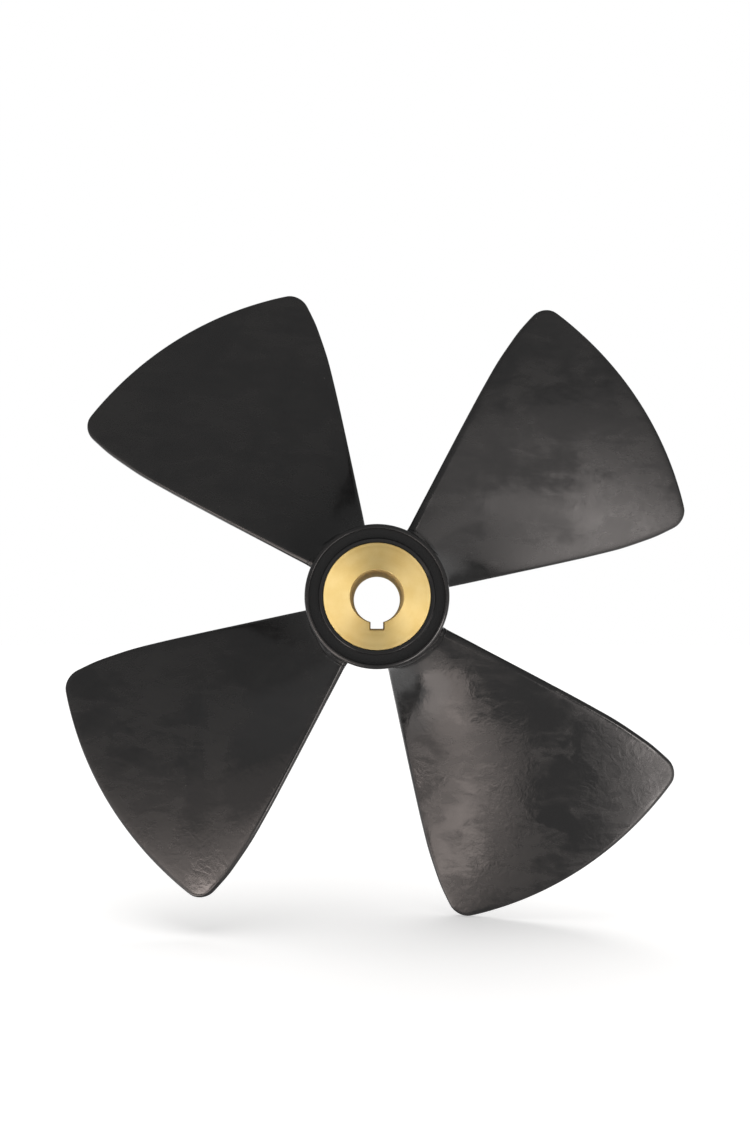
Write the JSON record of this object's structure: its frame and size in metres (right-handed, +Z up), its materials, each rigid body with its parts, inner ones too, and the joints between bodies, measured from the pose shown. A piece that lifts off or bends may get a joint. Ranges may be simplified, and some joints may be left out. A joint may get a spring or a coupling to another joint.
{
  "type": "tunnel thruster propeller",
  "caption": "Black moulded thruster propeller with wide fan-shaped twisted blades around a short hub barrel, driven through a keyed brass insert.",
  "frame": {"origin": "on the shaft axis, halfway along the hub", "axes": "Y along the shaft axis, with the front face, the one seen in the picture, towards -Y; +Z up, opposite the keyway; +X to the right seen from the front"},
  "size_m": [0.2822, 0.066, 0.2822],
  "materials": {
    "black_moulding": "satin glass-filled moulding with flow marks and light handling marks",
    "turned_brass": "fine turned face"
  },
  "bodies": {
    "root": {"propeller_moulding": "black_moulding", "brass_insert": "turned_brass"}
  },
  "joints": []
}
